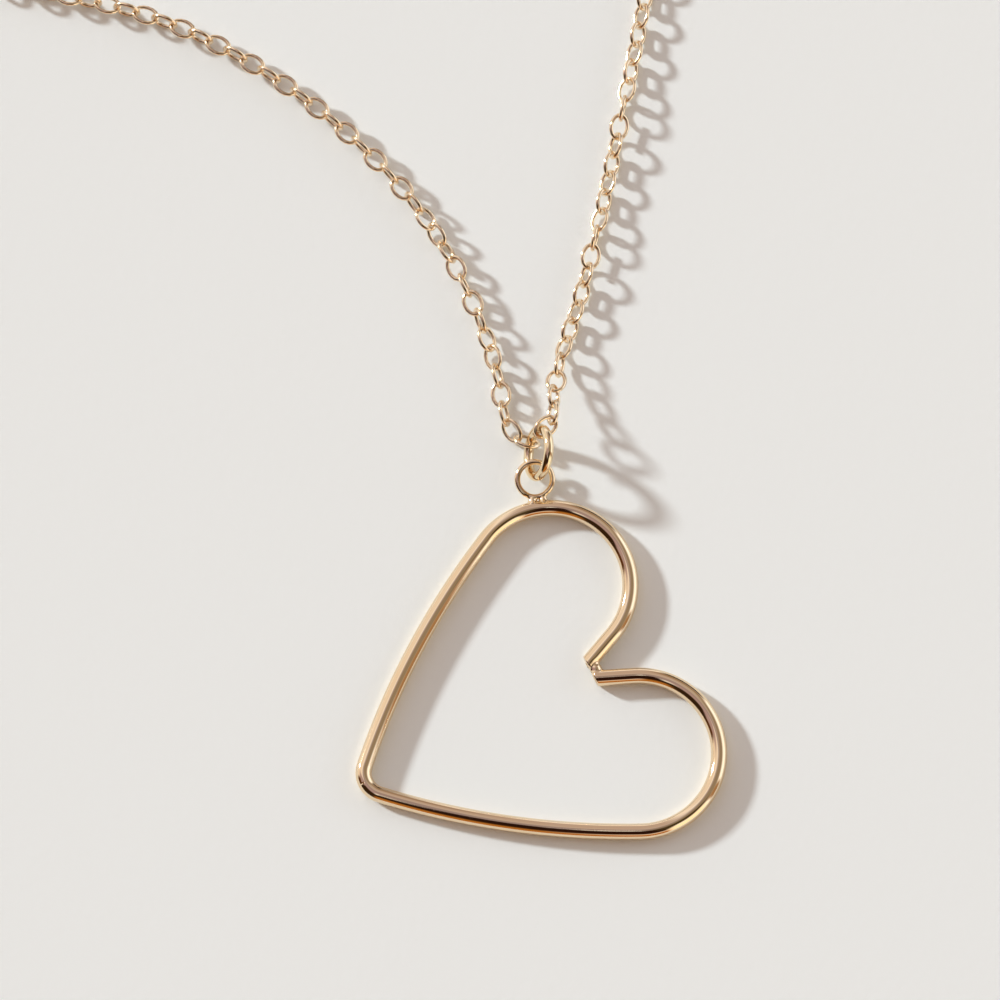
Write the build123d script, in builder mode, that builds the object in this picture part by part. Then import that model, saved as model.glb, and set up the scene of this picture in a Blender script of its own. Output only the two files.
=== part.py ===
"""Open heart of round wire on a fine cable chain, lying on a flat surface.

Millimetres, +Z up. The surface is z = 0 and the origin is the middle of the whole necklace on it.
The heart wire and its soldered eye are one solid. A jump ring holds the eye and the first link of
each half of the chain, and a plain barrel clasp holds the last link of each half.
"""
import os
from math import acos, asin, atan2, cos, degrees, radians, sin, sqrt

from build123d import *

# The heart, along the middle of its wire
heart_wire = 1.34
lobe_radius = 6.56
lobe_sweep = 182.7
side_radius = 66.4
neck_straight = 4.86
cleft_angle = 23.4
tip_bend_radius = 1.9
heart_turn = 27.1
heart_cleft = (6.09, -15.32)

# In the cleft the two ends are soldered, and their inner corner is ground flat
cleft_cut = 1.5
cleft_solder = 1.25
cleft_solder_at = 1.95

# The eye soldered on the upper lobe, and its solder
eye_wire = 0.49
eye_outer = 3.36
eye_round_lobe = 71
eye_stand_off = 0.08
solder_foot = 0.9
solder_top = 0.7
solder_spread = 0.45
solder_depth = 0.27

# The jump ring, which stands on the surface and leans to the right
ring_outer = 4.75
ring_wire = 0.8
ring_lean = 25
ring_in_eye = 31
ring_round_eye = 4
ring_gap = 0.215
left_link_tilt = 11
right_link_tilt = 10
right_link_on_ring = 115

# One chain link, and how close its neighbours lie
link_length = 2.37
link_width = 1.78
link_wire = 0.3
link_gap = 0.15
surface_gap = 0.01

# The right half is drawn together by this much more at each link
slack_right = 0.012

# The barrel clasp at the back
clasp_diameter = 1.9
clasp_length = 6.5
clasp_rounding = 0.6
clasp_eye_outer = 2.3
clasp_eye_wire = 0.5
clasp_middle = (-33, 141)
clasp_turn = 12

# Chosen points of each half of the chain, from the jump ring to the clasp: x, y and, where the
# chain comes down from the jump ring, how far it is lifted above where it lies by itself
left_route = [
    (0.41, 6.59),
    (0.12, 8.55),
    (-1.1, 13.5),
    (-5.3, 22.4),
    (-12.5, 30.8),
    (-20.5, 36.8),
    (-29.5, 41.0),
    (-41, 43.6),
    (-54, 49),
    (-65, 60),
    (-71, 76),
    (-71, 94),
    (-66, 112),
    (-56, 127),
]
right_route = [
    (4.35, 7.6, 1.65),
    (4.55, 9.3, 0.85),
    (4.85, 11.0, 0.3),
    (5.3, 12.9, 0.04),
    (6.0, 15.0),
    (7.6, 21.0),
    (8.8, 26.4),
    (9.9, 31.9),
    (11.0, 37.4),
    (12.2, 44),
    (15, 56),
    (20, 71),
    (22.5, 88),
    (20.5, 105),
    (13, 121),
    (0, 133.5),
    (-15, 141),
]

# How the cross of flat and standing links leans round the chain's line: distance from the
# jump ring, and the lean in degrees. The chain is twisted, and lies on two links at a time for a
# stretch before it rolls over to the next two. Each half starts as the jump ring holds its first
# link, and keeps its last lean until near the clasp.
left_lean = [(2.4, -48), (5.3, -80), (9.8, -45), (13.9, 8), (17.1, 25), (20.4, 48), (25.3, 90)]
right_lean = [
    (2.4, -28),
    (5.7, -90),
    (8.9, -45),
    (13.8, -43),
    (17, -20),
    (20.2, 40),
    (25.1, 45),
    (28.4, 70),
    (31.6, 128),
    (36.5, 135),
]
clasp_near = 0.9

heart_radius = heart_wire / 2
ring_radius = ring_wire / 2
ring_middle = (ring_outer - ring_wire) / 2
eye_middle = (eye_outer - eye_wire) / 2
link_radius = link_wire / 2
link_half_width = (link_width - link_wire) / 2
link_half_straight = (link_length - link_width) / 2
full_pitch = link_length - 2 * link_wire - link_gap


def ground(angle):
    """The unit vector at this angle from +X, level."""
    return Vector(cos(radians(angle)), sin(radians(angle)), 0)


up = Vector(0, 0, 1)

# The heart lies flat. Its own frame has x along its axis, from the cleft to the open side,
# so each half is one straight neck, one round lobe, one long bowed side and half of the tip.
heart_plane = Plane((*heart_cleft, heart_radius), x_dir=ground(heart_turn), z_dir=up)
mirror_plane = Plane(heart_plane.origin, x_dir=heart_plane.x_dir, z_dir=heart_plane.y_dir)
neck_turn = radians(cleft_angle)
side_start = radians(cleft_angle + lobe_sweep)

with BuildLine(heart_plane) as half_heart:
    straight = Line((0, 0), (neck_straight * cos(neck_turn), neck_straight * sin(neck_turn)))
    lobe = JernArc(straight @ 1, straight % 1, lobe_radius, lobe_sweep)
    # The side bows in from the lobe until the tip's small bend meets it on the axis.
    side_centre_y = heart_plane.to_local_coords(lobe @ 1).Y + cos(side_start) * side_radius
    side_end = 360 - degrees(acos(side_centre_y / (side_radius - tip_bend_radius)))
    side = JernArc(lobe @ 1, lobe % 1, side_radius, side_end - degrees(side_start))
    JernArc(side @ 1, side % 1, tip_bend_radius, 270 - side_end)

# The eye's plane rises from the heart wire, so that the jump ring passes under its far side.
# The jump ring hangs in it a little to the right of the eye's farthest point.
lobe_middle = straight @ 1 + up.cross(straight % 1) * lobe_radius
outwards = ground(heart_turn + eye_round_lobe)
beside = outwards.cross(up)
eye_foot = lobe_middle + outwards * lobe_radius
eye_distance = heart_radius + eye_stand_off + eye_outer / 2
held_along = eye_distance + eye_middle * cos(radians(ring_round_eye))
held_beside = eye_middle * sin(radians(ring_round_eye))
ring_height = ring_middle * cos(radians(ring_lean)) + ring_radius
eye_in_ring = ring_middle - ring_radius - eye_wire / 2 - ring_gap
held_height = ring_height - eye_in_ring * cos(radians(ring_in_eye)) * cos(radians(ring_lean))
eye_rise = asin((held_height - heart_radius) / held_along)
eye_reach = outwards * cos(eye_rise) + up * sin(eye_rise)
eye_plane = Plane(eye_foot + eye_reach * eye_distance, x_dir=beside, z_dir=beside.cross(eye_reach))
solder_plane = Plane(eye_foot + eye_reach * solder_depth, x_dir=beside, z_dir=eye_reach)

with BuildPart() as heart_pendant:
    with BuildSketch(Plane(half_heart.line @ 0, z_dir=half_heart.line % 0)):
        Circle(heart_radius)
    sweep(path=half_heart.line)
    split(bisect_by=mirror_plane, keep=Keep.TOP)
    mirror(about=mirror_plane)
    with Locations(heart_plane):
        with Locations((cleft_solder_at, 0)):
            Sphere(cleft_solder / 2)
        with Locations((cleft_cut, 0)):
            Box(
                cleft_cut + heart_wire,
                2 * heart_wire,
                2 * heart_wire,
                align=(Align.MAX, Align.CENTER, Align.CENTER),
                mode=Mode.SUBTRACT,
            )
    with Locations(eye_plane):
        Torus(eye_middle, eye_wire / 2)
    with Locations(solder_plane):
        with Locations((-solder_spread, 0), (solder_spread, 0)):
            Cone(
                solder_foot / 2,
                solder_top / 2,
                eye_distance - eye_middle - solder_depth,
                align=(Align.CENTER, Align.CENTER, Align.MIN),
            )

# The jump ring's circle: down and away are unit vectors in its plane
down = Vector(-sin(radians(ring_lean)), 0, -cos(radians(ring_lean)))
away = Vector(0, 1, 0)
eye_held = eye_foot + eye_reach * held_along + beside * held_beside
hang = down * cos(radians(ring_in_eye)) - away * sin(radians(ring_in_eye))
ring_centre = eye_held - hang * eye_in_ring


def on_ring(angle):
    """The middle of the jump ring's wire, and its direction there, at this angle from its foot."""
    turn = radians(angle)
    return (
        ring_centre + (down * cos(turn) + away * sin(turn)) * ring_middle,
        away * cos(turn) - down * sin(turn),
    )


with BuildPart() as jump_ring:
    with Locations(Plane(ring_centre, x_dir=away, z_dir=away.cross(down))):
        Torus(ring_middle, ring_radius)

# The clasp: a rounded barrel with a soldered eye at each end
clasp_axis = ground(clasp_turn)
clasp_height = clasp_diameter / 2
clasp_eye_middle = (clasp_eye_outer - clasp_eye_wire) / 2
clasp_eye_at = clasp_length / 2 - clasp_eye_wire + clasp_eye_outer / 2
clasp_centre = Vector(*clasp_middle, clasp_height)
clasp_plane = Plane(clasp_centre, x_dir=clasp_axis, z_dir=up)

with BuildPart() as clasp:
    with Locations(Plane(clasp_centre, z_dir=clasp_axis)):
        Cylinder(clasp_diameter / 2, clasp_length)
    fillet(clasp.edges().filter_by(GeomType.CIRCLE), clasp_rounding)
    with Locations(clasp_plane):
        with Locations((-clasp_eye_at, 0), (clasp_eye_at, 0)):
            Torus(clasp_eye_middle, clasp_eye_wire / 2)

# One link: a round wire bent to a slot shape, flat in XY with its length along X
with BuildPart() as link:
    with BuildLine() as link_line:
        Line((-link_half_straight, link_half_width), (link_half_straight, link_half_width))
        CenterArc((link_half_straight, 0), link_half_width, 90, -180)
        Line((link_half_straight, -link_half_width), (-link_half_straight, -link_half_width))
        CenterArc((-link_half_straight, 0), link_half_width, 270, -180)
    with BuildSketch(Plane.YZ.offset(-link_half_straight)):
        with Locations((link_half_width, 0)):
            Circle(link_radius)
    sweep(path=link_line.line)


def lying_height(lean):
    """How high the chain's middle lies, so that the lower links of a leaning cross touch."""
    turn = radians(lean)
    return link_half_width * max(abs(sin(turn)), abs(cos(turn))) + link_radius + surface_gap


def reach_past(wire_radius, pitch):
    """How far a half of the chain starts past the middle of the wire that its end link holds."""
    link_seat = link_length / 2 - link_wire - wire_radius - link_gap
    return pitch / 2 - link_seat


def lean_at(rows, distance):
    """The lean between the rows of a table, level after its last row."""
    for (near, low), (far, high) in zip(rows, rows[1:]):
        if distance <= far:
            return low + (high - low) * (distance - near) / (far - near)
    return rows[-1][1]


def strand(points, lean_rows, ring_angle, tilt, toward, clasp_side, pitch):
    """Where each link of one half of the chain lies, from the jump ring to the clasp."""
    wire_middle, wire_direction = on_ring(ring_angle)
    level = wire_direction.cross(up).normalized()
    start_direction = level if level.dot(toward) > 0 else -level
    across = start_direction.cross(up)
    start_lean = degrees(atan2(-wire_direction.dot(across), wire_direction.Z)) + tilt
    start = wire_middle - start_direction * reach_past(ring_radius, pitch)
    start -= up * lying_height(start_lean)

    end_direction = clasp_axis * -clasp_side
    held = clasp_centre + clasp_axis * clasp_side * (clasp_eye_at + clasp_eye_middle)
    end = held + end_direction * reach_past(clasp_eye_wire / 2, pitch)
    end -= up * link_width / 2

    second = start + start_direction * pitch
    last_but_one = end - end_direction * pitch
    with BuildLine():
        line = Spline(start, second, *points, last_but_one, end)
    count = round(line.length / pitch)
    step = line.length / count
    # The last link stands, because it holds the flat eye of the clasp.
    last_lean = lean_rows[-1][1]
    half_turns = round((last_lean - (90 if count % 2 else 0)) / 180)
    end_lean = 180 * half_turns + (90 if count % 2 else 0)
    rows = [(0, start_lean), *lean_rows, (clasp_near * line.length, end_lean), (line.length, end_lean)]

    # Where two links meet, the line is as high as the higher of the two needs.
    needed = [lying_height(lean_at(rows, (k + 0.5) * step)) for k in range(count)]
    heights = [lying_height(start_lean), *map(max, needed, needed[1:]), lying_height(end_lean)]
    joints = []
    for k, height in enumerate(heights):
        point = line @ (k / count)
        joints.append(Vector(point.X, point.Y, max(point.Z, 0) + height))
    places = []
    for k in range(count):
        along = (joints[k + 1] - joints[k]).normalized()
        sideways = along.cross(up).normalized()
        roll = radians(lean_at(rows, (k + 0.5) * step) + 90 * k)
        normal = sideways.cross(along) * cos(roll) - sideways * sin(roll)
        places.append(Location(Plane((joints[k] + joints[k + 1]) / 2, x_dir=along, z_dir=normal)))
    print(f"{count} links, {step:.3f} mm apart, {line.length:.1f} mm as they lie")
    return places


# The first link of the left half lies low, with the jump ring through it. How high it lies and
# where on the ring it hangs depend on each other, so a few rounds settle both.
left_height = link_width / 2
for _ in range(8):
    drop = (ring_centre.Z - left_height) / (ring_middle * cos(radians(ring_lean)))
    left_link_on_ring = degrees(acos(drop))
    left_height = link_half_width * sqrt(1 - on_ring(left_link_on_ring)[1].Z ** 2) + link_radius
left_places = strand(
    left_route, left_lean, left_link_on_ring, left_link_tilt, Vector(-1, 0, 0), -1, full_pitch
)
right_places = strand(
    right_route, right_lean, right_link_on_ring, right_link_tilt, away, 1, full_pitch - slack_right
)

with BuildPart() as chain_left:
    with Locations(*left_places):
        add(link.part)

with BuildPart() as chain_right:
    with Locations(*right_places):
        add(link.part)

pieces = {
    "heart_pendant": heart_pendant,
    "jump_ring": jump_ring,
    "chain_left": chain_left,
    "chain_right": chain_right,
    "clasp": clasp,
}
boxes = [piece.part.bounding_box() for piece in pieces.values()]
middle_x = (min(box.min.X for box in boxes) + max(box.max.X for box in boxes)) / 2
middle_y = (min(box.min.Y for box in boxes) + max(box.max.Y for box in boxes)) / 2
print(f"origin at {middle_x:.3f}, {middle_y:.3f}")

os.makedirs("parts", exist_ok=True)
for name, piece in pieces.items():
    part = piece.part.moved(Location((-middle_x, -middle_y, 0)))
    part.label = name
    export_step(part, f"parts/{name}.step")
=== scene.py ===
# %% [markdown]
# # An open heart on a fine chain
#
# This file dresses a pendant: a heart bent from round wire, an eye soldered to it, a jump ring, a
# fine cable chain and a barrel clasp, all lying on a pale table. The frame gives the place of
# every piece, and the steps below give each one the form and the finish of polished jewellery.
# All sizes are in millimetres and are turned to metres by MM where a mesh is made.

# %% Load the frame
from math import acos, cos, pi, radians, sin, sqrt

import bmesh
import bpy
import numpy as np
from mathutils import Matrix, Vector


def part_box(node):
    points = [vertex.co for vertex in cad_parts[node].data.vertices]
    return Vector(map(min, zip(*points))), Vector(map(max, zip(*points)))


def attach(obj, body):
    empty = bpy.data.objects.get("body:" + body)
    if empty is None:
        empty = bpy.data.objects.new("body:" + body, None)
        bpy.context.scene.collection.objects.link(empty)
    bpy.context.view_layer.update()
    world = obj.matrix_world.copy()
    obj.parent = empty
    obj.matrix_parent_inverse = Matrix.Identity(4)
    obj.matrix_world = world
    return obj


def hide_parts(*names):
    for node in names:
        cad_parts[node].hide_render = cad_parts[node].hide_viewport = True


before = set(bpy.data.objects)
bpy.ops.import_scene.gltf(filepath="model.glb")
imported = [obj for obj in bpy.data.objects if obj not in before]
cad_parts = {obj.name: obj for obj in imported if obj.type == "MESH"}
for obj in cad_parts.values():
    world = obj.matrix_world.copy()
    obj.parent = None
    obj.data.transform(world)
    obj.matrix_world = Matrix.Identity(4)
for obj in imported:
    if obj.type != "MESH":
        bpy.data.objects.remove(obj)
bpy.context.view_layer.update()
scene = bpy.context.scene
MM = 0.001
print("nodes:", sorted(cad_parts))


# %% [markdown]
# ## Small helpers
#
# A colour picked from a picture is an sRGB value, but a shader works with linear light. One
# function turns a hex colour to linear, so that each material can keep the hex that a designer
# would write down. Another adds a node, sets its inputs and joins its links in one call, which
# keeps a material short enough to be read as a list. A third turns points and faces to an object
# with its normals outward and its doubles merged, and a fourth turns what an object's modifiers
# make of it to a plain mesh.

# %% Colour, node and mesh helpers
same_point = 0.0005


def linear(hex_colour):
    """An sRGB hex colour as linear red, green, blue and alpha."""
    parts = [int(hex_colour[k:k + 2], 16) / 255 for k in (0, 2, 4)]
    return [c / 12.92 if c <= 0.04045 else ((c + 0.055) / 1.055) ** 2.4 for c in parts] + [1.0]


def add_node(tree, kind, values=None, links=None, **settings):
    """Adds a node, sets what it offers, gives its inputs values, and links sockets to others."""
    node = tree.nodes.new(kind)
    for name, value in settings.items():
        setattr(node, name, value)
    for name, value in (values or {}).items():
        node.inputs[name].default_value = value
    for name, socket in (links or {}).items():
        tree.links.new(socket, node.inputs[name])
    return node


def mix(tree, factor, first, second):
    """Mixes two colours; each may be a colour or another node's output."""
    node = add_node(tree, "ShaderNodeMix", data_type="RGBA")
    colours = [socket for socket in node.inputs if socket.type == "RGBA"]
    tree.links.new(factor, node.inputs["Factor"])
    for socket, colour in zip(colours, (first, second)):
        if isinstance(colour, bpy.types.NodeSocket):
            tree.links.new(colour, socket)
        else:
            socket.default_value = colour
    return next(socket for socket in node.outputs if socket.type == "RGBA")


def object_from(name, bm):
    """Turns a bmesh to a smooth object, with its doubles merged and its normals outward."""
    bmesh.ops.remove_doubles(bm, verts=bm.verts, dist=same_point * MM)
    bmesh.ops.recalc_face_normals(bm, faces=bm.faces)
    mesh = bpy.data.meshes.new(name)
    bm.to_mesh(mesh)
    bm.free()
    for face in mesh.polygons:
        face.use_smooth = True
    obj = bpy.data.objects.new(name, mesh)
    scene.collection.objects.link(obj)
    return obj


def apply_modifiers(obj):
    """Gives an object the mesh that its modifiers make of it, and drops the modifiers."""
    bpy.context.view_layer.update()
    made = obj.evaluated_get(bpy.context.evaluated_depsgraph_get())
    mesh = bpy.data.meshes.new_from_object(made)
    obj.modifiers.clear()
    obj.data = mesh


def size_in_mm(obj):
    """An object's size along X, Y and Z."""
    co = np.empty(len(obj.data.vertices) * 3)
    obj.data.vertices.foreach_get("co", co)
    span = np.ptp(co.reshape(-1, 3), axis=0) / MM
    return [round(float(s), 2) for s in span]


# %% [markdown]
# ## The gold
#
# The real metal is brass wire with a thin plating of pale gold, polished bright. A metal's colour
# is all in its reflection, so the base colour is that of light thrown straight back, and the
# warm browns in the wire come by themselves when it mirrors a warmer or a darker place. Polished
# plating isn't a perfect mirror: the drawn wire under it leaves long shallow waves, and handling
# leaves hairlines. Both could be painted on, but as bump they also bend the reflections, which is
# how the eye knows them. The waves are 0.8 mm long on the fine chain and up to 1.5 mm on the
# heart. Real hairlines are finer than the picture can show, so they are drawn with a grain of
# 0.12 mm, which is about a pixel and a half.

# %% Gold plating
plate_roughness = 0.06
least_dulled, most_dulled = 0.75, 1.3
hairline_grain = 0.12
hairline_height = 0.0004
tone_grain = 2.5
warmer_tint = (1.0, 0.955, 0.87, 1.0)
noise_low, noise_high = 0.3, 0.7


def plated_gold(name, colour, wave_length, wave_height):
    """Polished gold plate on brass wire: long waves from the drawing, and fine hairlines."""
    material = bpy.data.materials.new(name)
    material.use_nodes = True
    tree = material.node_tree
    shader = tree.nodes["Principled BSDF"]
    shader.inputs["Metallic"].default_value = 1.0
    place = add_node(tree, "ShaderNodeTexCoord").outputs["Object"]
    waves, hairlines, tone = (
        add_node(
            tree, "ShaderNodeTexNoise", {"Scale": 1 / (grain * MM), "Detail": detail},
            {"Vector": place},
        )
        for grain, detail in ((wave_length, 1.0), (hairline_grain, 2.0), (tone_grain, 2.0))
    )
    warmer = [c * k for c, k in zip(linear(colour), warmer_tint)]
    blend = mix(tree, tone.outputs["Fac"], linear(colour), warmer)
    tree.links.new(blend, shader.inputs["Base Color"])
    dulling = add_node(
        tree, "ShaderNodeMapRange",
        {
            "From Min": noise_low, "From Max": noise_high,
            "To Min": plate_roughness * least_dulled, "To Max": plate_roughness * most_dulled,
        },
        {"Value": hairlines.outputs["Fac"]},
    )
    tree.links.new(dulling.outputs["Result"], shader.inputs["Roughness"])
    wavy = add_node(
        tree, "ShaderNodeBump", {"Distance": wave_height * MM, "Strength": 1.0},
        {"Height": waves.outputs["Fac"]},
    )
    lined = add_node(
        tree, "ShaderNodeBump", {"Distance": hairline_height * MM, "Strength": 1.0},
        {"Height": hairlines.outputs["Fac"], "Normal": wavy.outputs["Normal"]},
    )
    tree.links.new(lined.outputs["Normal"], shader.inputs["Normal"])
    return material


heart_gold = plated_gold("Polished pale gold plate, bent wire", "F4DEBE", 1.5, 0.004)
ring_gold = plated_gold("Polished pale gold plate, jump ring", "F2DEBC", 1.2, 0.004)
chain_gold = plated_gold("Polished pale gold plate, fine chain", "F4E0C4", 0.8, 0.003)
print("materials:", [m.name for m in (heart_gold, ring_gold, chain_gold)])


# %% [markdown]
# ## The heart's line
#
# The maker bends one length of wire round formers, so the heart is not a free curve: each half is
# a straight neck, a round lobe, a long side with a slight bow and half of the tip's bend, each
# running on from the last. The same four pieces give the line here, with the sizes that the
# frame was made with. A Bezier curve would be quicker to draw, but it would bulge between its
# handles, and in a mirror-bright wire the eye finds every bulge.

# %% The middle line of half the heart
heart_wire = 1.34
lobe_radius = 6.56
lobe_sweep = radians(182.7)
side_radius = 66.4
neck_straight = 4.86
neck_turn = radians(23.4)
tip_bend_radius = 1.9
heart_turn = radians(27.1)
cleft_cut = 1.5
line_step = 0.16
fewest_steps = 6


def arc(start, heading, radius, sweep, step):
    """Points along an arc that turns left, without its first one, and the heading at its end."""
    x = start[0] - radius * sin(heading)
    y = start[1] + radius * cos(heading)
    count = max(int(radius * sweep / step), fewest_steps)
    turns = [heading + sweep * k / count for k in range(1, count + 1)]
    return [(x + radius * sin(t), y - radius * cos(t)) for t in turns], heading + sweep


def half_heart_line():
    """The middle of the wire from the cleft to the tip, with x along the heart's axis."""
    straight_steps = int(neck_straight / line_step)
    along = [neck_straight * k / straight_steps for k in range(straight_steps + 1)]
    line = [(a * cos(neck_turn), a * sin(neck_turn)) for a in along]
    lobe, heading = arc(line[-1], neck_turn, lobe_radius, lobe_sweep, line_step)
    line += lobe
    # The long side ends where a tip bend with its middle on the axis can run on from it, and the
    # tip's half bend ends on the axis, square to it.
    centre_y = line[-1][1] + side_radius * cos(heading)
    side_end = 2 * pi - acos(centre_y / (side_radius - tip_bend_radius))
    side, heading = arc(line[-1], heading, side_radius, side_end - heading, line_step)
    line += side
    tip, heading = arc(line[-1], heading, tip_bend_radius, 1.5 * pi - heading, line_step / 2)
    return line + tip


half_line = half_heart_line()
print("half of the heart:", len(half_line), "points, tip at", [round(c, 2) for c in half_line[-1]])


# %% [markdown]
# ## Where the heart lies
#
# The frame says where the heart is, but only as a box. Its line is laid so that the box of the
# wire matches the node's box: the heart's lowest and rightmost edges are both on the wire, so
# two numbers fix its place, and the turn is one of the driving sizes.

# %% Place of the heart, from the frame
def turned(point):
    """A point of the heart's own line, turned the way the heart lies."""
    x, y = point
    return x * cos(heart_turn) - y * sin(heart_turn), x * sin(heart_turn) + y * cos(heart_turn)


whole_line = half_line + [(x, -y) for x, y in half_line]
heart_low, heart_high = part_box("heart_pendant")
laid = [turned(p) for p in whole_line]
cleft = Vector((
    heart_high.x / MM - heart_wire / 2 - max(p[0] for p in laid),
    heart_low.y / MM + heart_wire / 2 - min(p[1] for p in laid),
    heart_wire / 2,
))
print("the two halves meet near", [round(c, 3) for c in cleft])


# %% [markdown]
# ## The heart's wire
#
# A round wire that follows a flat line is a ring of points carried along the line and turned to
# stay square to it. A curve with a bevel would do the same, but here the cleft decides: its two
# ends are mitred, each cut along the heart's axis, and then their inner corner is ground flat.
# So half of the wire is made as a tube, cut at the axis, mirrored and merged, and the flat is
# sliced last. The mirrored half meets the first one point for point, so the mitre has no seam
# but its real one. 48 sides round a wire this bright keep its outline and its lines smooth.

# %% A tube along a flat line
def tube(bm, line, radius, sides):
    """Carries a circle along a level line of points, with its ends open."""
    rings = []
    for k, (x, y) in enumerate(line):
        before, after = line[max(k - 1, 0)], line[min(k + 1, len(line) - 1)]
        along = Vector((after[0] - before[0], after[1] - before[1], 0)).normalized()
        beside = Vector((along.y, -along.x, 0))
        ring = []
        for s in range(sides):
            turn = 2 * pi * s / sides
            offset = beside * (radius * cos(turn)) + Vector((0, 0, radius * sin(turn)))
            ring.append(bm.verts.new((Vector((x, y, 0)) + offset) * MM))
        rings.append(ring)
    for first, second in zip(rings, rings[1:]):
        for s in range(sides):
            t = (s + 1) % sides
            bm.faces.new((first[s], first[t], second[t], second[s]))


# %% The two halves, mitred and ground
heart_sides = 48
on_plane = 0.0001
on_axis = 0.002
seam_merge = 0.001
cut_reach = 4 * heart_wire


def cut(bm, middle, outward, near=None):
    """Slices a bmesh with a plane and throws away the outward side, all over or near a point."""
    verts = [v for v in bm.verts if near is None or (v.co - near).length < cut_reach * MM]
    chosen = set(verts)
    edges = [e for e in bm.edges if all(v in chosen for v in e.verts)]
    faces = [f for f in bm.faces if all(v in chosen for v in f.verts)]
    bmesh.ops.bisect_plane(
        bm, geom=verts + edges + faces, plane_co=middle, plane_no=outward, clear_outer=True,
        dist=on_plane * MM,
    )


bm = bmesh.new()
tube(bm, half_line, heart_wire / 2, heart_sides)
cut(bm, Vector(), Vector((0, -1, 0)))
for v in bm.verts:
    if abs(v.co.y) < on_axis * MM:
        v.co.y = 0
copied = bmesh.ops.duplicate(bm, geom=bm.verts[:] + bm.edges[:] + bm.faces[:])["geom"]
for v in copied:
    if isinstance(v, bmesh.types.BMVert):
        v.co.y = -v.co.y
bmesh.ops.remove_doubles(bm, verts=bm.verts, dist=seam_merge * MM)
flat_middle = Vector((cleft_cut * MM, 0, 0))
cut(bm, flat_middle, Vector((-1, 0, 0)), near=flat_middle)
flat_edges = [e for e in bm.edges if e.is_boundary]
bmesh.ops.holes_fill(bm, edges=flat_edges, sides=0)
print("open edges left in the wire:", sum(e.is_boundary for e in bm.edges))
place_heart = Matrix.Translation(cleft * MM) @ Matrix.Rotation(heart_turn, 4, "Z")
bmesh.ops.transform(bm, matrix=place_heart, verts=bm.verts)
heart = object_from("heart_pendant_wire", bm)
print("heart wire:", size_in_mm(heart), "mm,", len(heart.data.polygons), "faces")


# %% [markdown]
# ## The eye
#
# The eye is a smaller wire bent to a ring and soldered to the lobe. It tilts up from the heart,
# and its highest point is the top of the node's box, so the frame gives its tilt. Blender's own
# torus would do too, but it lies flat and has to be turned afterwards. A ring that is laid out
# along two directions lies right at once, and the jump ring and the clasp's eyes use it again.

# %% A closed ring of wire
def wire_ring(name, centre, across, upward, middle_radius, wire, around, sides):
    """A closed ring of round wire in the plane of two unit vectors."""
    bm = bmesh.new()
    normal = across.cross(upward)
    grid = []
    for k in range(around):
        turn = 2 * pi * k / around
        outward = across * cos(turn) + upward * sin(turn)
        ring = []
        for s in range(sides):
            tilt = 2 * pi * s / sides
            reach = middle_radius + wire / 2 * cos(tilt)
            aside = normal * (wire / 2 * sin(tilt))
            ring.append(bm.verts.new((centre + outward * reach + aside) * MM))
        grid.append(ring)
    for k in range(around):
        first, second = grid[k], grid[(k + 1) % around]
        for s in range(sides):
            t = (s + 1) % sides
            bm.faces.new((first[s], second[s], second[t], first[t]))
    return object_from(name, bm)


# %% The eye on the upper lobe
eye_wire = 0.49
eye_outer = 3.36
eye_around, eye_sides = 96, 24
eye_round_lobe = radians(71)
eye_stand_off = 0.08
eye_middle = (eye_outer - eye_wire) / 2
eye_distance = heart_wire / 2 + eye_stand_off + eye_outer / 2

neck_end = Vector((neck_straight * cos(neck_turn), neck_straight * sin(neck_turn), 0))
lobe_middle = neck_end + lobe_radius * Vector((-sin(neck_turn), cos(neck_turn), 0))
to_eye = Vector((cos(eye_round_lobe), sin(eye_round_lobe), 0))
eye_foot = place_heart @ ((lobe_middle + to_eye * lobe_radius) * MM) / MM
outwards = (place_heart.to_3x3() @ to_eye).normalized()
beside_eye = outwards.cross(Vector((0, 0, 1)))
eye_top = heart_high.z / MM - eye_wire / 2 - heart_wire / 2
eye_sine = eye_top / (eye_distance + eye_middle)
eye_reach = outwards * sqrt(1 - eye_sine ** 2) + Vector((0, 0, eye_sine))
eye_centre = eye_foot + eye_reach * eye_distance
eye = wire_ring(
    "eye", eye_centre, beside_eye, eye_reach, eye_middle, eye_wire, eye_around, eye_sides
)
print("eye at", [round(c, 2) for c in eye_centre], "tilted up", round(eye_sine, 3))


# %% [markdown]
# ## The solder
#
# Solder is drawn into the corner between two pieces and leaves a hollow fillet there. That is
# hard to model directly, but easy to get: two hollow-sided cones stand under the eye and a bead
# fills the cleft, all are fused with an exact Boolean, and then only the points near the joints
# are relaxed a few times, which rounds the corners as solder does.

# %% Two feet of solder under the eye
solder_spread = 0.45
foot_depth = 0.45
foot_radius = 0.5
foot_top_radius = 0.28
foot_height = eye_distance - eye_middle - foot_depth
flare_sides = 32
flare_steps = 8
flare_hollow = 1.3


def solder_flare(name, foot, direction, foot_radius, top_radius, height):
    """A hollow-sided cone of solder from a point along a direction."""
    bm = bmesh.new()
    side = direction.orthogonal().normalized()
    front = direction.cross(side)
    turns = [2 * pi * k / flare_sides for k in range(flare_sides)]
    rings = []
    for k in range(flare_steps + 1):
        part = k / flare_steps
        reach = top_radius + (foot_radius - top_radius) * (1 - part) ** flare_hollow
        middle = foot + direction * (height * part)
        rings.append([
            bm.verts.new((middle + (side * cos(t) + front * sin(t)) * reach) * MM) for t in turns
        ])
    for first, second in zip(rings, rings[1:]):
        for k in range(flare_sides):
            n = (k + 1) % flare_sides
            bm.faces.new((first[k], first[n], second[n], second[k]))
    bm.faces.new(rings[0])
    bm.faces.new(rings[-1])
    return object_from(name, bm)


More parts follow.
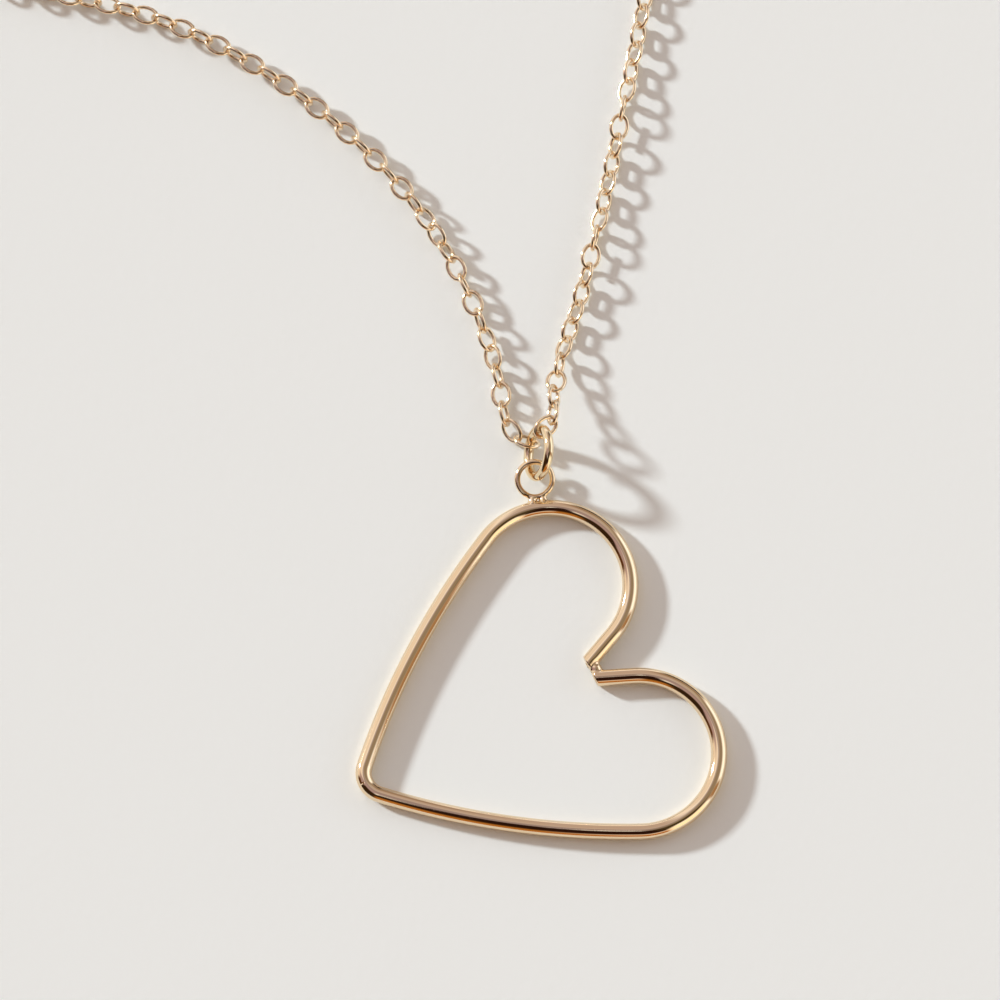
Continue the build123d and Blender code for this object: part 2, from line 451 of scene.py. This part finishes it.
feet = [
    solder_flare(
        f"solder_foot_{side}",
        eye_foot + eye_reach * foot_depth + beside_eye * (side * solder_spread),
        eye_reach, foot_radius, foot_top_radius, foot_height,
    )
    for side in (-1, 1)
]
print("solder feet:", [foot.name for foot in feet], round(foot_height, 2), "mm high")


# %% A bead of solder in the cleft
cleft_bead_along = 1.95
cleft_bead_diameter = 1.12
bead_round, bead_levels = 32, 20
cleft_bead_at = place_heart @ (Vector((cleft_bead_along, 0, 0)) * MM) / MM
bm = bmesh.new()
bmesh.ops.create_uvsphere(
    bm, u_segments=bead_round, v_segments=bead_levels, radius=cleft_bead_diameter / 2 * MM
)
bmesh.ops.translate(bm, vec=cleft_bead_at * MM, verts=bm.verts)
cleft_bead = object_from("cleft_solder", bm)
print("bead at", [round(c, 2) for c in cleft_bead_at])


# %% The bead ground flat with the wire's corner
grinder_size = (2, 4, 4)


def combined(body, others, operation="UNION"):
    """Joins closed shells to one, or takes them from it, and deletes the pieces that went in."""
    for other in others:
        joint = body.modifiers.new(other.name, "BOOLEAN")
        joint.operation = operation
        joint.solver = "EXACT"
        joint.object = other
    apply_modifiers(body)
    for other in others:
        bpy.data.objects.remove(other)
    for face in body.data.polygons:
        face.use_smooth = True
    return body


block = bmesh.new()
bmesh.ops.create_cube(block, size=1)
block_size = Matrix.Diagonal((*grinder_size, 1))
block_place = Matrix.Translation((cleft_cut - grinder_size[0] / 2, 0, 0))
bmesh.ops.transform(block, matrix=block_place @ block_size, verts=block.verts)
bmesh.ops.scale(block, vec=(MM, MM, MM), verts=block.verts)
bmesh.ops.transform(block, matrix=place_heart, verts=block.verts)
grinder = object_from("grinder", block)
cleft_bead = combined(cleft_bead, [grinder], "DIFFERENCE")
print("cleft bead:", size_in_mm(cleft_bead), "mm")


# %% Heart, eye and solder as one
joint_height = 0.85
joint_spread = 0.5
joint_reach, joint_times = 0.6, 16
cleft_reach, cleft_times = 0.9, 14
relax_factor = 0.5


def relax(obj, centres, reach, times):
    """Smooths only the points near some places, so that solder fills the corners there."""
    bm = bmesh.new()
    bm.from_mesh(obj.data)
    for _ in range(times):
        near = [v for v in bm.verts if any((v.co / MM - c).length < reach for c in centres)]
        bmesh.ops.smooth_vert(
            bm, verts=near, factor=relax_factor,
            use_axis_x=True, use_axis_y=True, use_axis_z=True,
        )
    bm.to_mesh(obj.data)
    bm.free()


heart = combined(heart, [cleft_bead, eye, *feet])
joint_middle = eye_foot + eye_reach * joint_height
joint_places = [joint_middle + beside_eye * (s * joint_spread) for s in (-1, 0, 1)]
relax(heart, joint_places, joint_reach, joint_times)
relax(heart, [cleft_bead_at], cleft_reach, cleft_times)
print("heart with eye:", size_in_mm(heart), "mm,", len(heart.data.polygons), "faces")

heart.data.materials.clear()
heart.data.materials.append(heart_gold)
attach(heart, "root")
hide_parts("heart_pendant")


# %% [markdown]
# ## The jump ring
#
# The jump ring is thick wire bent to a ring. The frame's node has the same middle, and its box
# tells how far it leans: the taller the box, the nearer it stands to upright. A real jump ring
# is opened and closed sideways, so it keeps a fine joint. The picture doesn't show it clearly,
# so the ring is drawn whole.

# %% The leaning ring
ring_outer = 4.75
ring_wire = 0.8
ring_around, ring_sides = 128, 40
ring_middle = (ring_outer - ring_wire) / 2
ring_low, ring_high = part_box("jump_ring")
ring_centre = (ring_low + ring_high) / 2 / MM
ring_rise = ((ring_high.z - ring_low.z) / MM - ring_wire) / 2 / ring_middle
lean_side = sqrt(1 - ring_rise ** 2)
ring_up = Vector((lean_side, 0, ring_rise))
jump_ring = wire_ring(
    "jump_ring_wire", ring_centre, Vector((0, 1, 0)), ring_up, ring_middle, ring_wire,
    ring_around, ring_sides,
)
jump_ring.data.materials.append(ring_gold)
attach(jump_ring, "root")
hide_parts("jump_ring")
print("jump ring:", size_in_mm(jump_ring), "mm")


# %% [markdown]
# ## Where each link lies
#
# The frame's chain is hundreds of loose links in two meshes, and each one already lies right. To
# dress them, each link's place and turn are read back from its mesh: triangles that share
# corners belong to one link, the middle of its surface is its place, and the directions in
# which its surface spreads most and least are its length and the normal of its plane. Weighing
# by area makes the answer the same however the link was cut to triangles.

# %% Loose parts of a node and their own axes
def loose_frames(node):
    """For each loose part of a node: its middle, its long direction and its plane's normal."""
    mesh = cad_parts[node].data
    mesh.calc_loop_triangles()
    co = np.empty(len(mesh.vertices) * 3, np.float32)
    mesh.vertices.foreach_get("co", co)
    co = co.reshape(-1, 3).astype(float)
    corners = np.empty(len(mesh.loop_triangles) * 3, np.int32)
    mesh.loop_triangles.foreach_get("vertices", corners)

    # Corners in the same place get the same number.
    steps = np.round((co - co.min(0)) / (same_point * MM)).astype(np.int64)
    span = steps.max(0) + 1
    key = (steps[:, 0] * span[1] + steps[:, 1]) * span[2] + steps[:, 2]
    same = np.unique(key, return_inverse=True)[1]
    shared = same[corners].reshape(-1, 3)

    # Each triangle passes the lowest label of its corners on, until nothing changes any more.
    label = np.arange(same.max() + 1)
    while True:
        lowest = label[shared].min(1)
        joined = label.copy()
        np.minimum.at(joined, shared.ravel(), np.repeat(lowest, 3))
        joined = joined[joined]
        if (joined == label).all():
            break
        label = joined
    part = np.unique(label[shared[:, 0]], return_inverse=True)[1]

    a, b, c = (co[corners.reshape(-1, 3)[:, k]] for k in range(3))
    area = np.linalg.norm(np.cross(b - a, c - a), axis=1) / 2
    middle = (a + b + c) / 3
    found = []
    for k in range(part.max() + 1):
        inside = part == k
        weight = area[inside][:, None]
        place = (middle[inside] * weight).sum(0) / weight.sum()
        away = middle[inside] - place
        spread, axes = np.linalg.eigh((away * weight).T @ away)
        found.append((place, axes[:, 2], axes[:, 0]))
    return found


link_frames = {node: loose_frames(node) for node in ("chain_left", "chain_right")}
print("links:", {node: len(found) for node, found in link_frames.items()})


# %% [markdown]
# ## The chain
#
# All links are the same, so Geometry Nodes makes one and puts it at every point. The link is a
# circle of wire stretched to an oval, which is how a fine cable chain's link looks. A path of 16
# points with 6 sides of wire is enough at this size, and keeps more than 200 links light. The
# wire is 0.35 mm across its corners, a little bolder than the frame's 0.3 mm, because six flat
# sides are thinner than a round wire and the picture's links look bolder too. The points carry
# two directions each, and Axes to Rotation turns the link to them. The tree ends in Realize
# Instances and Set Material, and its result is then stored as a plain mesh.

# %% A tree that hangs one link on every point
link_length = 2.37
link_width = 1.78
link_wire = 0.35
link_path_points = 16
link_wire_sides = 6


def link_tree():
    """The node tree, with the link's sizes as named inputs in metres."""
    tree = bpy.data.node_groups.new("links on points", "GeometryNodeTree")
    tree.interface.new_socket("Points", in_out="INPUT", socket_type="NodeSocketGeometry")
    for name in ("Length", "Width", "Wire"):
        tree.interface.new_socket(name, in_out="INPUT", socket_type="NodeSocketFloat")
    tree.interface.new_socket("Finish", in_out="INPUT", socket_type="NodeSocketMaterial")
    tree.interface.new_socket("Chain", in_out="OUTPUT", socket_type="NodeSocketGeometry")
    given = add_node(tree, "NodeGroupInput").outputs

    def maths(operation, first, second):
        """Two numbers, or other nodes' outputs, through one operation."""
        node = add_node(tree, "ShaderNodeMath", operation=operation)
        for socket, value in zip(node.inputs, (first, second)):
            if isinstance(value, bpy.types.NodeSocket):
                tree.links.new(value, socket)
            else:
                socket.default_value = value
        return node.outputs[0]

    across_middle = maths("SUBTRACT", given["Width"], given["Wire"])
    round_radius = maths("MULTIPLY", across_middle, 0.5)
    longer = maths("SUBTRACT", given["Length"], given["Width"])
    stretch = maths("DIVIDE", longer, across_middle)
    circle = add_node(
        tree, "GeometryNodeCurvePrimitiveCircle", {"Resolution": link_path_points},
        {"Radius": round_radius},
    )
    place = add_node(tree, "ShaderNodeSeparateXYZ", links={
        "Vector": add_node(tree, "GeometryNodeInputPosition").outputs[0]
    })
    push = maths("MULTIPLY", place.outputs["X"], stretch)
    oval = add_node(
        tree, "GeometryNodeSetPosition",
        links={
            "Geometry": circle.outputs["Curve"],
            "Offset": add_node(tree, "ShaderNodeCombineXYZ", links={"X": push}).outputs[0],
        },
    )
    section = add_node(
        tree, "GeometryNodeCurvePrimitiveCircle", {"Resolution": link_wire_sides},
        {"Radius": maths("MULTIPLY", given["Wire"], 0.5)},
    )
    link = add_node(
        tree, "GeometryNodeCurveToMesh",
        links={"Curve": oval.outputs[0], "Profile Curve": section.outputs["Curve"]},
    )
    round_link = add_node(tree, "GeometryNodeSetShadeSmooth", links={"Geometry": link.outputs[0]})
    directions = [
        add_node(tree, "GeometryNodeInputNamedAttribute", {"Name": name}, data_type="FLOAT_VECTOR")
        for name in ("along", "normal")
    ]
    turn = add_node(
        tree, "FunctionNodeAxesToRotation", primary_axis="X", secondary_axis="Z",
        links={
            "Primary Axis": directions[0].outputs["Attribute"],
            "Secondary Axis": directions[1].outputs["Attribute"],
        },
    )
    placed = add_node(
        tree, "GeometryNodeInstanceOnPoints",
        links={
            "Points": given["Points"],
            "Instance": round_link.outputs[0],
            "Rotation": turn.outputs[0],
        },
    )
    real = add_node(tree, "GeometryNodeRealizeInstances", links={"Geometry": placed.outputs[0]})
    finish = add_node(
        tree, "GeometryNodeSetMaterial",
        links={"Geometry": real.outputs[0], "Material": given["Finish"]},
    )
    add_node(tree, "NodeGroupOutput", links={"Chain": finish.outputs[0]})
    return tree


links_on_points = link_tree()
print("nodes in the link's tree:", len(links_on_points.nodes))


# %% Both halves of the chain
def dress_chain(node):
    """One half of the chain as a plain mesh, a link at each place read from the frame."""
    places, along, normal = (np.array(column) for column in zip(*link_frames[node]))
    cloud = bpy.data.meshes.new(node + "_points")
    cloud.from_pydata(places.tolist(), [], [])
    for name, rows in (("along", along), ("normal", normal)):
        stored = cloud.attributes.new(name, "FLOAT_VECTOR", "POINT")
        stored.data.foreach_set("vector", rows.astype(np.float32).ravel())
    obj = bpy.data.objects.new(node + "_links", cloud)
    scene.collection.objects.link(obj)
    modifier = obj.modifiers.new("links", "NODES")
    modifier.node_group = links_on_points
    sizes = {
        "Length": link_length * MM, "Width": link_width * MM, "Wire": link_wire * MM,
        "Finish": chain_gold,
    }
    for socket in links_on_points.interface.items_tree:
        if socket.item_type == "SOCKET" and socket.in_out == "INPUT" and socket.name in sizes:
            modifier[socket.identifier] = sizes[socket.name]
    apply_modifiers(obj)
    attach(obj, "root")
    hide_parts(node)
    print(node, len(places), "links,", len(obj.data.polygons), "faces,", size_in_mm(obj), "mm")


for node in link_frames:
    dress_chain(node)


# %% [markdown]
# ## The clasp
#
# The clasp is behind the neck and out of the picture. It is one plain rounded barrel with an eye
# soldered to each end. A turned shape is quickest as a profile spun round its axis, and the
# frame's node gives that axis the same way as for a link.

# %% A turned barrel with two eyes
clasp_diameter = 1.9
clasp_length = 6.5
clasp_rounding = 0.6
rounding_steps = 8
barrel_steps = 48
clasp_eye_outer = 2.3
clasp_eye_wire = 0.5
clasp_eye_around, clasp_eye_sides = 64, 20
clasp_place, clasp_long = (Vector(v) for v in loose_frames("clasp")[0][:2])
clasp_place /= MM
clasp_beside = Vector((0, 0, 1)).cross(clasp_long).normalized()
end_turns = [pi / 2 * k / rounding_steps for k in range(rounding_steps + 1)]
barrel_end = [
    (
        clasp_length / 2 - clasp_rounding * (1 - cos(t)),
        clasp_diameter / 2 - clasp_rounding * (1 - sin(t)),
    )
    for t in end_turns
]
profile = [(clasp_length / 2, 0.0)] + barrel_end
profile += [(-x, r) for x, r in reversed(profile)]
bm = bmesh.new()
spun = [bm.verts.new((clasp_place + clasp_long * x + clasp_beside * r) * MM) for x, r in profile]
edges = [bm.edges.new(pair) for pair in zip(spun, spun[1:])]
bmesh.ops.spin(
    bm, geom=spun + edges, cent=clasp_place * MM, axis=clasp_long, angle=2 * pi,
    steps=barrel_steps, use_merge=True,
)
clasp = object_from("clasp_barrel", bm)
clasp_eye_at = clasp_length / 2 - clasp_eye_wire + clasp_eye_outer / 2
clasp_eyes = [
    wire_ring(
        f"clasp_eye_{side}", clasp_place + clasp_long * (side * clasp_eye_at), clasp_beside,
        clasp_long, (clasp_eye_outer - clasp_eye_wire) / 2, clasp_eye_wire,
        clasp_eye_around, clasp_eye_sides,
    )
    for side in (-1, 1)
]
clasp = combined(clasp, clasp_eyes)
clasp.data.materials.clear()
clasp.data.materials.append(chain_gold)
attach(clasp, "root")
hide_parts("clasp")
print("clasp:", size_in_mm(clasp), "mm")


# %% [markdown]
# ## The table
#
# A pale matt board, wide enough to fill every view. It has a faint tooth, like heavy paper, so
# that the shadows of the links don't fall on a surface with no scale. The tooth's grain of
# 0.6 mm is coarser than real paper's, so that it shows at all.

# %% Pale board
board_half_width = 1500
tooth_grain = 0.6
tooth_height = 0.03
tooth_strength = 0.6
bm = bmesh.new()
bmesh.ops.create_grid(bm, x_segments=1, y_segments=1, size=board_half_width * MM)
board = object_from("board", bm)
board_paper = bpy.data.materials.new("Uncoated off-white board")
board_paper.use_nodes = True
tree = board_paper.node_tree
paper = tree.nodes["Principled BSDF"]
paper.inputs["Base Color"].default_value = linear("F8FAF8")
paper.inputs["Roughness"].default_value = 0.85
paper.inputs["Specular IOR Level"].default_value = 0.2
tooth = add_node(
    tree, "ShaderNodeTexNoise", {"Scale": 1 / (tooth_grain * MM), "Detail": 3.0},
    {"Vector": add_node(tree, "ShaderNodeTexCoord").outputs["Object"]},
)
rough = add_node(
    tree, "ShaderNodeBump", {"Distance": tooth_height * MM, "Strength": tooth_strength},
    {"Height": tooth.outputs["Fac"]},
)
tree.links.new(rough.outputs["Normal"], paper.inputs["Normal"])
board.data.materials.append(board_paper)
print("board:", size_in_mm(board), "mm")


# %% [markdown]
# ## Light
#
# Polished metal shows what is around it, so the room is built for its reflections first. A round
# wire mirrors all of the sky across its width, squeezed to a few bands: the middle of the wire
# mirrors the ceiling, and each side the wall that it faces. So the pale room has a dull ceiling,
# and dark panels stand high on its near side: they give the wires their crisp dark line along
# the middle. The warm wood below them gives the brown band beside that line, and the bright gap
# beside the wood gives a light edge. Boxes of light would do it too, but in the world's own
# shader each part of the room is one row of a table. A small low sun from the upper left gives
# the chain its long shadows.

# %% Parts of a room, in degrees
def toward(azimuth, elevation):
    """The unit vector to a light, from degrees round from +X and degrees up."""
    a, e = radians(azimuth), radians(elevation)
    return Vector((cos(a) * cos(e), sin(a) * cos(e), sin(e)))


room = bpy.data.worlds.new("Room round the table")
scene.world = room
room.use_nodes = True
tree = room.node_tree
direction = add_node(tree, "ShaderNodeTexCoord").outputs["Generated"]
height = add_node(tree, "ShaderNodeSeparateXYZ", links={0: direction}).outputs["Z"]
steepness = add_node(tree, "ShaderNodeMath", links={0: height}, operation="ARCSINE").outputs[0]
elevation = add_node(tree, "ShaderNodeMath", links={0: steepness}, operation="DEGREES").outputs[0]
level = add_node(
    tree, "ShaderNodeVectorMath", {1: (1, 1, 0)}, {0: direction}, operation="MULTIPLY"
).outputs[0]
compass = add_node(tree, "ShaderNodeVectorMath", links={0: level}, operation="NORMALIZE").outputs[0]


def ramp(value, start, end):
    """Zero before the start, one after the end, and smooth between."""
    return add_node(
        tree, "ShaderNodeMapRange", {"From Min": start, "From Max": end}, {"Value": value},
        interpolation_type="SMOOTHSTEP",
    ).outputs["Result"]


def product(first, second):
    """Two outputs multiplied."""
    return add_node(
        tree, "ShaderNodeMath", links={0: first, 1: second}, operation="MULTIPLY"
    ).outputs[0]


def wall(azimuth, half_width, low, high, side_soft, edge_soft):
    """One inside a part of the room given in degrees, zero outside it, with soft edges."""
    facing = add_node(
        tree, "ShaderNodeVectorMath", {1: toward(azimuth, 0)}, {0: compass}, operation="DOT_PRODUCT"
    ).outputs["Value"]
    round_it = ramp(
        facing, cos(radians(half_width + side_soft)), cos(radians(half_width - side_soft))
    )
    above = ramp(elevation, low - edge_soft, low + edge_soft)
    below = ramp(elevation, high + edge_soft, high - edge_soft)
    return product(round_it, product(above, below))


# %% Room
# Name, colour, strength, azimuth and half width, lowest and highest elevation, and how soft the
# sides and the two other edges are. A later row is painted over the earlier ones.
room_rows = [
    ("ceiling", "B5A6AE", 0.65, 90, 174, 68, 120, 7, 10),
    ("cream wall on the left", "EADFD8", 0.95, 150, 34, -10, 66, 10, 14),
    ("dusky wall on the left", "A8929A", 1.0, -164, 32, 34, 80, 8, 10),
    ("rosy wall behind", "C9B8B4", 0.8, 88, 22, 10, 74, 10, 12),
    ("shade on the right", "B4A592", 0.6, 10, 56, 36, 120, 14, 14),
    ("low dark panel behind", "3A2A22", 0.7, 64, 13, -14, 20, 4, 6),
    ("brown panel above it", "967F68", 0.9, 66, 15, 20, 44, 6, 8),
    ("tan panel on the right", "B08A66", 0.8, -14, 7, -10, 44, 4, 10),
    ("brown panel on the left", "5B361C", 0.9, -162, 22, -4, 37, 5, 8),
    ("dark panel on the near left", "402D1A", 0.6, -130, 36, 0, 60, 5, 8),
    ("high dark panel on the near side", "3A2016", 0.5, -86, 30, 32, 82, 5, 6),
    ("high dark panel on the near right", "4B3E2B", 0.9, -42, 26, 50, 80, 8, 8),
    ("warm wood below", "C07E3A", 0.8, -90, 30, -10, 30, 8, 14),
    ("bright gap on the near right", "FFF0D4", 1.2, -44, 17, -10, 44, 6, 8),
]
open_room_colour = "F8FAFF"
open_room_strength = 1.25
room_strength = 1.16


def painted(colour, strength):
    """A hex colour made brighter or darker, with its alpha kept at one."""
    return [channel * strength for channel in linear(colour)[:3]] + [1.0]


seen = painted(open_room_colour, open_room_strength)
for name, colour, strength, *place in room_rows:
    seen = mix(tree, wall(*place), seen, painted(colour, strength))
tree.links.new(seen, tree.nodes["Background"].inputs["Color"])
tree.nodes["Background"].inputs["Strength"].default_value = room_strength
print("room:", [row[0] for row in room_rows])


# %% Low sun
sun_azimuth = 153
sun_elevation = 21.5
sun_width = radians(5)
sun_data = bpy.data.lights.new("low sun", "SUN")
sun_data.energy = 3.4
sun_data.angle = sun_width
sun_data.color = linear("F0FAFF")[:3]
sun = bpy.data.objects.new("low sun", sun_data)
sun.rotation_euler = toward(sun_azimuth, sun_elevation).to_track_quat("Z", "Y").to_euler()
scene.collection.objects.link(sun)
print("sun:", sun_azimuth, "degrees round,", sun_elevation, "degrees up")


# %% [markdown]
# ## Camera
#
# The picture was taken from high above the near side, 76 degrees up. The view is drawn nearly
# parallel, as through a long lens: the camera stands 3 metres away, with the lens to match. It
# looks at a place below and left of the jump ring, which is the middle of the picture.

# %% Camera
camera_elevation = 76
camera_distance = 3000
nearest_seen = 10
seen_width = 81.97
looks_at = Vector((24.556, -57.297, 0))
view_from = toward(-90, camera_elevation)
camera_data = bpy.data.cameras.new("camera")
camera_data.lens = camera_data.sensor_width * camera_distance / seen_width
camera_data.clip_start = nearest_seen * MM
camera = bpy.data.objects.new("camera", camera_data)
camera.location = (looks_at + view_from * camera_distance) * MM
camera.rotation_euler = view_from.to_track_quat("Z", "Y").to_euler()
scene.collection.objects.link(camera)
scene.camera = camera
scene.view_settings.view_transform = "Standard"
print("lens:", round(camera_data.lens, 1), "mm")
